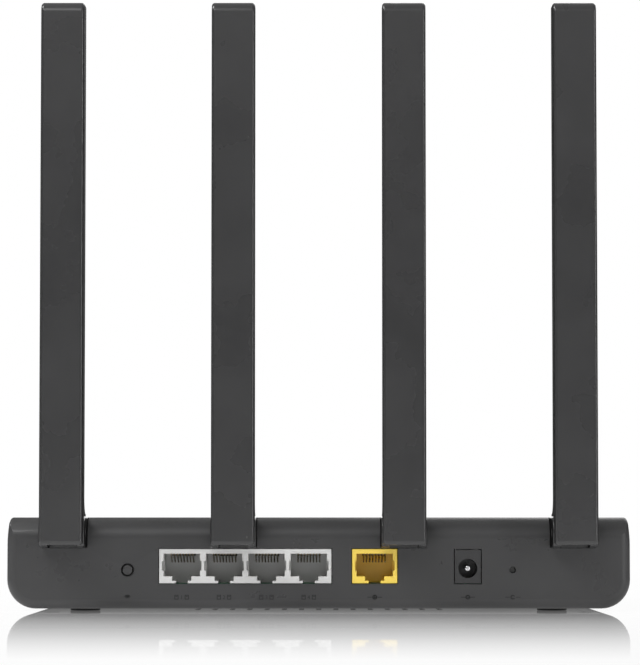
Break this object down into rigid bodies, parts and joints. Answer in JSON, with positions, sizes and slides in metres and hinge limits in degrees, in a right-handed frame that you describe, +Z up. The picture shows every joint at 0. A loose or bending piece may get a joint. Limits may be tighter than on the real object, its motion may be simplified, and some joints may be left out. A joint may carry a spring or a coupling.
{
  "type": "wireless router",
  "caption": "Flat desktop wireless router with network sockets, power inlet and keys in its back wall, and paddle antennas that fold backwards.",
  "frame": {"origin": "on the table under the middle of the whole router, antennas upright", "axes": "+X across the case to the right as seen from the socket side, +Y from the socket side to the lamp side, +Z up"},
  "size_m": [0.206, 0.148, 0.2],
  "materials": {
    "case_plastic": "fine matt texture",
    "antenna_plastic": "fine matt texture",
    "foot_rubber": "matt",
    "screw_steel": "zinc plated",
    "board_laminate": "green solder mask",
    "radiator_laminate": "green solder mask",
    "lan_plastic": "light grey moulding",
    "wan_plastic": "yellow moulding",
    "contact_metal": "gold and nickel plated",
    "black_plastic": "satin moulding",
    "plunger_plastic": "satin moulding",
    "chip_epoxy": "moulded epoxy",
    "sink_aluminium": "anodised",
    "can_metal": "tin plated",
    "capacitor_sleeve": "shrink sleeve",
    "lamp_resin": "clear resin",
    "guide_acrylic": "clear acrylic",
    "lead_jacket": "extruded jacket"
  },
  "bodies": {
    "housing": {"base_tub": "case_plastic", "top_cover": "case_plastic", "rubber_feet": "foot_rubber", "case_screws": "screw_steel", "circuit_board": "board_laminate", "board_screws": "screw_steel", "lan_jack": "lan_plastic", "lan_contacts": "contact_metal", "wan_jack": "wan_plastic", "wan_contacts": "contact_metal", "power_jack": "black_plastic", "power_pin": "contact_metal", "power_spring": "contact_metal", "wps_switch": "black_plastic", "reset_switch": "black_plastic", "line_transformers": "black_plastic", "main_processor": "chip_epoxy", "heat_sink": "sink_aluminium", "memory_chips": "chip_epoxy", "radio_chips": "chip_epoxy", "shield_cans": "can_metal", "capacitors": "capacitor_sleeve", "inductors": "chip_epoxy", "crystals": "can_metal", "status_leds": "lamp_resin", "light_guide": "guide_acrylic", "coax_sockets": "contact_metal", "coax_plugs": "contact_metal", "antenna_1_base": "antenna_plastic", "antenna_1_pins": "screw_steel", "antenna_1_lower_lead": "lead_jacket", "antenna_2_base": "antenna_plastic", "antenna_2_pins": "screw_steel", "antenna_2_lower_lead": "lead_jacket", "antenna_3_base": "antenna_plastic", "antenna_3_pins": "screw_steel", "antenna_3_lower_lead": "lead_jacket", "antenna_4_base": "antenna_plastic", "antenna_4_pins": "screw_steel", "antenna_4_lower_lead": "lead_jacket"},
    "antenna_1": {"antenna_1_front_shell": "antenna_plastic", "antenna_1_back_cover": "antenna_plastic", "antenna_1_radiator": "radiator_laminate", "antenna_1_upper_lead": "lead_jacket"},
    "antenna_2": {"antenna_2_front_shell": "antenna_plastic", "antenna_2_back_cover": "antenna_plastic", "antenna_2_radiator": "radiator_laminate", "antenna_2_upper_lead": "lead_jacket"},
    "antenna_3": {"antenna_3_front_shell": "antenna_plastic", "antenna_3_back_cover": "antenna_plastic", "antenna_3_radiator": "radiator_laminate", "antenna_3_upper_lead": "lead_jacket"},
    "antenna_4": {"antenna_4_front_shell": "antenna_plastic", "antenna_4_back_cover": "antenna_plastic", "antenna_4_radiator": "radiator_laminate", "antenna_4_upper_lead": "lead_jacket"},
    "wps_key": {"wps_button": "case_plastic", "wps_plunger": "plunger_plastic"},
    "reset_key": {"reset_plunger": "plunger_plastic"}
  },
  "joints": [
    {"name": "antenna_1_fold", "type": "hinge", "parent": "housing", "child": "antenna_1", "pos_m": [-0.0839, -0.066, 0.026], "axis": [1, 0, 0], "range_deg": [0, 90]},
    {"name": "antenna_2_fold", "type": "hinge", "parent": "housing", "child": "antenna_2", "pos_m": [-0.02797, -0.066, 0.026], "axis": [1, 0, 0], "range_deg": [0, 90]},
    {"name": "antenna_3_fold", "type": "hinge", "parent": "housing", "child": "antenna_3", "pos_m": [0.02797, -0.066, 0.026], "axis": [1, 0, 0], "range_deg": [0, 90]},
    {"name": "antenna_4_fold", "type": "hinge", "parent": "housing", "child": "antenna_4", "pos_m": [0.0839, -0.066, 0.026], "axis": [1, 0, 0], "range_deg": [0, 90]},
    {"name": "wps_press", "type": "slide", "parent": "housing", "child": "wps_key", "axis": [0, 1, 0], "range_m": [0, 0.0004], "stiffness_N_per_m": 2000},
    {"name": "reset_press", "type": "slide", "parent": "housing", "child": "reset_key", "axis": [0, 1, 0], "range_m": [0, 0.0003], "stiffness_N_per_m": 2000}
  ]
}
